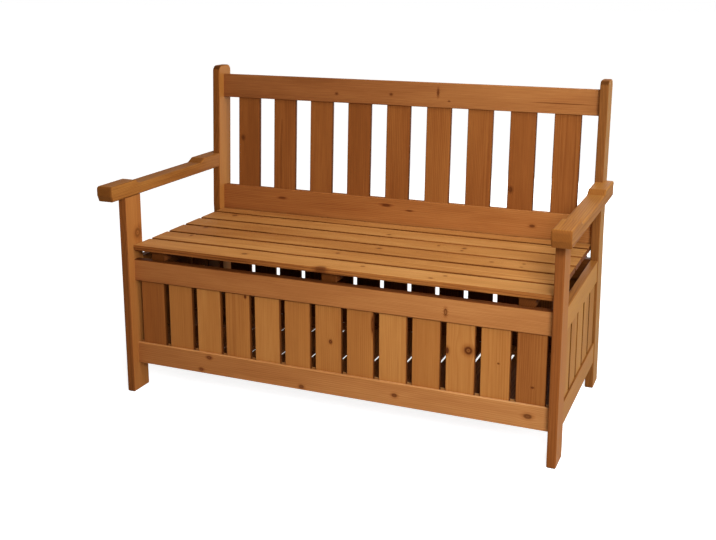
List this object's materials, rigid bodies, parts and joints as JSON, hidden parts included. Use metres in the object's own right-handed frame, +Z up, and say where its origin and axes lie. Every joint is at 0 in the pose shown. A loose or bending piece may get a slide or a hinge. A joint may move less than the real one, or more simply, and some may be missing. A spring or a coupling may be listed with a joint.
{
  "type": "garden storage bench",
  "caption": "Slatted timber garden bench with armrests and a leaning slatted back, whose hinged seat lid opens a storage box.",
  "frame": {"origin": "on the ground under the middle of the bench's bounding box", "axes": "+X along the bench to the right as seen from the front, +Y from the front to the back, +Z up"},
  "size_m": [1.2, 0.6199, 0.832],
  "materials": {
    "arm_wood": "satin stain",
    "back_rail_wood": "satin stain",
    "back_slat_wood": "satin stain",
    "floor_wood": "satin stain",
    "leg_wood": "satin stain",
    "rail_wood": "satin stain",
    "front_slat_wood": "satin stain",
    "zinc_steel": "dull zinc plate",
    "side_rail_wood": "satin stain",
    "side_slat_wood": "satin stain",
    "rear_slat_wood": "satin stain",
    "batten_wood": "satin stain",
    "seat_wood": "satin stain"
  },
  "bodies": {
    "frame": {"arm_left": "arm_wood", "arm_right": "arm_wood", "back_lower_rail": "back_rail_wood", "back_slat_1": "back_slat_wood", "back_slat_2": "back_slat_wood", "back_slat_3": "back_slat_wood", "back_slat_4": "back_slat_wood", "back_slat_5": "back_slat_wood", "back_slat_6": "back_slat_wood", "back_slat_7": "back_slat_wood", "back_slat_8": "back_slat_wood", "back_slat_9": "back_slat_wood", "back_top_rail": "back_rail_wood", "floor_bearer_front": "floor_wood", "floor_bearer_rear": "floor_wood", "floor_boards": "floor_wood", "front_leg_left": "leg_wood", "front_leg_right": "leg_wood", "front_lower_rail": "rail_wood", "front_slat_1": "front_slat_wood", "front_slat_2": "front_slat_wood", "front_slat_3": "front_slat_wood", "front_slat_4": "front_slat_wood", "front_slat_5": "front_slat_wood", "front_slat_6": "front_slat_wood", "front_slat_7": "front_slat_wood", "front_slat_8": "front_slat_wood", "front_slat_9": "front_slat_wood", "front_slat_10": "front_slat_wood", "front_slat_11": "front_slat_wood", "front_slat_12": "front_slat_wood", "front_slat_13": "front_slat_wood", "front_upper_rail": "rail_wood", "hinge_frame_leaves": "zinc_steel", "hinge_pins": "zinc_steel", "left_lower_side_rail": "side_rail_wood", "left_side_slats": "side_slat_wood", "left_upper_side_rail": "side_rail_wood", "rear_lower_rail": "rail_wood", "rear_post_left": "leg_wood", "rear_post_right": "leg_wood", "rear_slats": "rear_slat_wood", "rear_upper_rail": "rail_wood", "right_lower_side_rail": "side_rail_wood", "right_side_slats": "side_slat_wood", "right_upper_side_rail": "side_rail_wood"},
    "lid": {"hinge_lid_leaves": "zinc_steel", "seat_batten_left": "batten_wood", "seat_batten_middle": "batten_wood", "seat_batten_right": "batten_wood", "seat_slat_1": "seat_wood", "seat_slat_2": "seat_wood", "seat_slat_3": "seat_wood", "seat_slat_4": "seat_wood", "seat_slat_5": "seat_wood", "seat_slat_6": "seat_wood"}
  },
  "joints": [
    {"name": "lid_hinge", "type": "hinge", "parent": "frame", "child": "lid", "pos_m": [0, 0.22718, 0.3841], "axis": [-1, 0, 0], "range_deg": [0, 90]}
  ]
}
